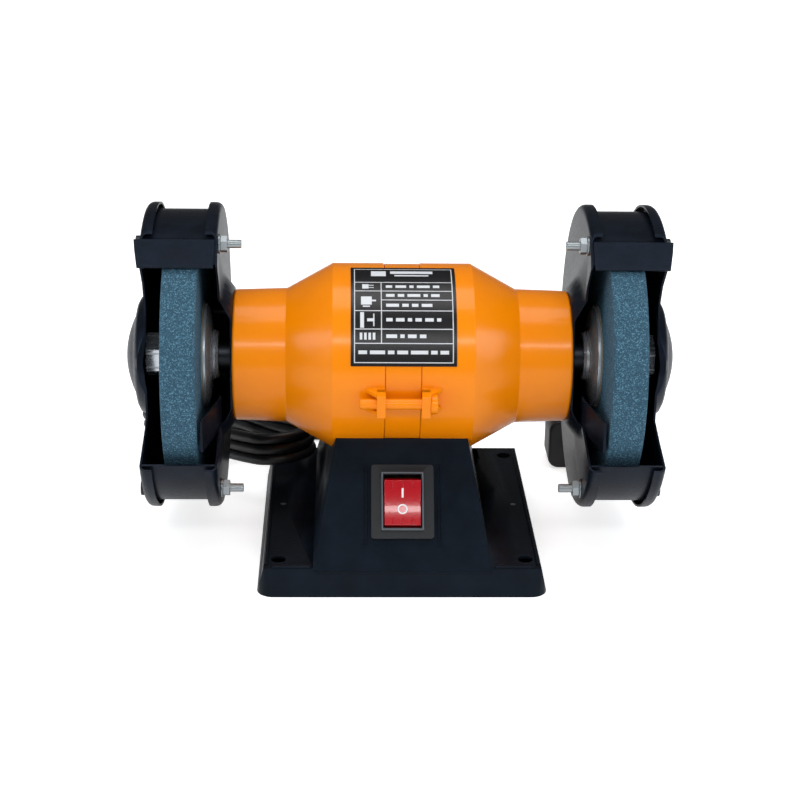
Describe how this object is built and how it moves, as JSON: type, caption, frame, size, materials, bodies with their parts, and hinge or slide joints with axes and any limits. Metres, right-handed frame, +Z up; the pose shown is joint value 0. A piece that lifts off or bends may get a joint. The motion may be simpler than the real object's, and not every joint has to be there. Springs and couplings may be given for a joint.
{
  "type": "bench grinder",
  "caption": "Twin-wheel bench grinder: round motor with tapered necks on a pressed pedestal, guarded wheels, spark arresters, rocker switch and coiled mains cord.",
  "frame": {"origin": "on the bench, under the middle of the machine", "axes": "+X along the shaft to the right-hand wheel, +Y to the rear, +Z up"},
  "size_m": [0.271, 0.2314, 0.1662],
  "materials": {
    "slate_paint": "satin",
    "zinc_sheet": "satin",
    "zinc_steel": "satin",
    "orange_paint": "gloss",
    "winding_wire": "satin",
    "label_foil": "satin",
    "bearing_steel": "polished",
    "rotor_aluminium": "satin",
    "turned_flange": "turned",
    "abrasive": "rough",
    "blotter_card": "matte",
    "guard_paint": "semi-gloss",
    "switch_plastic": "matte",
    "red_rocker": "gloss",
    "contact_brass": "plain",
    "capacitor_case": "matte",
    "block_plastic": "matte",
    "cord_sheath": "satin"
  },
  "bodies": {
    "machine": {"base_pedestal": "slate_paint", "base_bottom_plate": "zinc_sheet", "bottom_plate_screws": "zinc_steel", "saddle_bolts": "zinc_steel", "end_bell_left": "orange_paint", "end_bell_right": "orange_paint", "stator_core": "orange_paint", "stator_windings": "winding_wire", "housing_bolts": "orange_paint", "nameplate": "label_foil", "bearing_outer_rings": "bearing_steel", "wave_washer": "bearing_steel", "inner_cover_left": "guard_paint", "inner_cover_right": "guard_paint", "guard_drum_left": "guard_paint", "guard_drum_right": "guard_paint", "outer_cover_left": "guard_paint", "outer_cover_right": "guard_paint", "guard_bolts": "zinc_steel", "guard_nuts": "zinc_steel", "guard_washers": "zinc_steel", "switch_body": "switch_plastic", "switch_terminals": "contact_brass", "capacitor": "capacitor_case", "capacitor_strap": "zinc_sheet", "terminal_block": "block_plastic", "motor_leads": "block_plastic", "cord_gland": "cord_sheath", "cord_lead": "cord_sheath", "cord_hank": "cord_sheath", "cord_tie": "switch_plastic", "cord_plug": "cord_sheath", "plug_pins": "contact_brass"},
    "rotor": {"rotor_core": "bearing_steel", "rotor_end_rings": "rotor_aluminium", "shaft": "bearing_steel", "inner_flanges": "turned_flange", "grinding_wheel_left": "abrasive", "grinding_wheel_right": "abrasive", "wheel_blotters": "blotter_card", "outer_flanges": "turned_flange", "shaft_nut_left": "turned_flange", "shaft_nut_right": "turned_flange", "bearing_inner_rings": "bearing_steel", "bearing_balls": "bearing_steel"},
    "arrester_left": {"spark_arrester_left": "guard_paint", "arrester_screws_left": "zinc_steel"},
    "arrester_right": {"spark_arrester_right": "guard_paint", "arrester_screws_right": "zinc_steel"},
    "rocker": {"switch_rocker": "red_rocker"}
  },
  "joints": [
    {"name": "rotor_spin", "type": "hinge", "parent": "machine", "child": "rotor", "pos_m": [0, 0, 0.093], "axis": [1, 0, 0], "continuous": true},
    {"name": "rocker_tilt", "type": "hinge", "parent": "machine", "child": "rocker", "pos_m": [0, -0.0512, 0.03707], "axis": [1, 0, 0], "range_deg": [-20, 0]},
    {"name": "arrester_left_slide", "type": "slide", "parent": "machine", "child": "arrester_left", "axis": [0, 0.5, 0.866], "range_m": [0, 0.0035]},
    {"name": "arrester_right_slide", "type": "slide", "parent": "machine", "child": "arrester_right", "axis": [0, 0.5, 0.866], "range_m": [0, 0.0035]}
  ]
}
